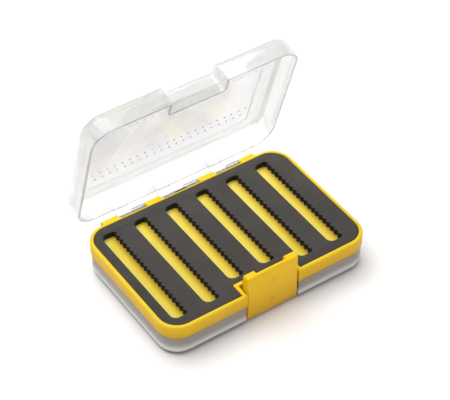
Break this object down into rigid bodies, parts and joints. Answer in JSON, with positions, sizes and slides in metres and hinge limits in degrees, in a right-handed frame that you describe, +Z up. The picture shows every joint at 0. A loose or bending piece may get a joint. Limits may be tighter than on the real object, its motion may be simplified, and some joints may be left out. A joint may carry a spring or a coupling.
{
  "type": "double-sided fly box",
  "caption": "Pocket case for fishing flies: a frame with slotted foam on both faces, a clear hinged lid over each and a rocker latch at the front.",
  "frame": {"origin": "centre of the lower lid's flat face, on which the box stands", "axes": "+X along the hinge, +Y from the latch to the hinge, +Z up out of the flat face"},
  "size_m": [0.124, 0.1002, 0.1024],
  "materials": {
    "yellow_plastic": "smooth moulded plastic with a soft sheen",
    "clear_plastic": "clear polished moulding, slightly frosted on the face",
    "grey_foam": "dark closed-cell foam with a fine grain",
    "steel": "plain drawn steel"
  },
  "bodies": {
    "frame": {"centre_frame": "yellow_plastic", "upper_foam": "grey_foam", "lower_foam": "grey_foam", "hinge_pin": "steel", "latch_pin": "steel"},
    "upper_lid": {"upper_lid": "clear_plastic"},
    "lower_lid": {"lower_lid": "clear_plastic"},
    "latch": {"latch": "yellow_plastic"}
  },
  "joints": [
    {"name": "upper_lid_hinge", "type": "hinge", "parent": "frame", "child": "upper_lid", "pos_m": [0, 0.0443, 0.0165], "axis": [-1, 0, 0], "range_deg": [-73, 27]},
    {"name": "lower_lid_hinge", "type": "hinge", "parent": "frame", "child": "lower_lid", "pos_m": [0, 0.0443, 0.0165], "axis": [1, 0, 0], "range_deg": [0, 100]},
    {"name": "latch_rock", "type": "hinge", "parent": "frame", "child": "latch", "pos_m": [0, -0.0386, 0.0165], "axis": [1, 0, 0], "range_deg": [-5, 5]}
  ]
}
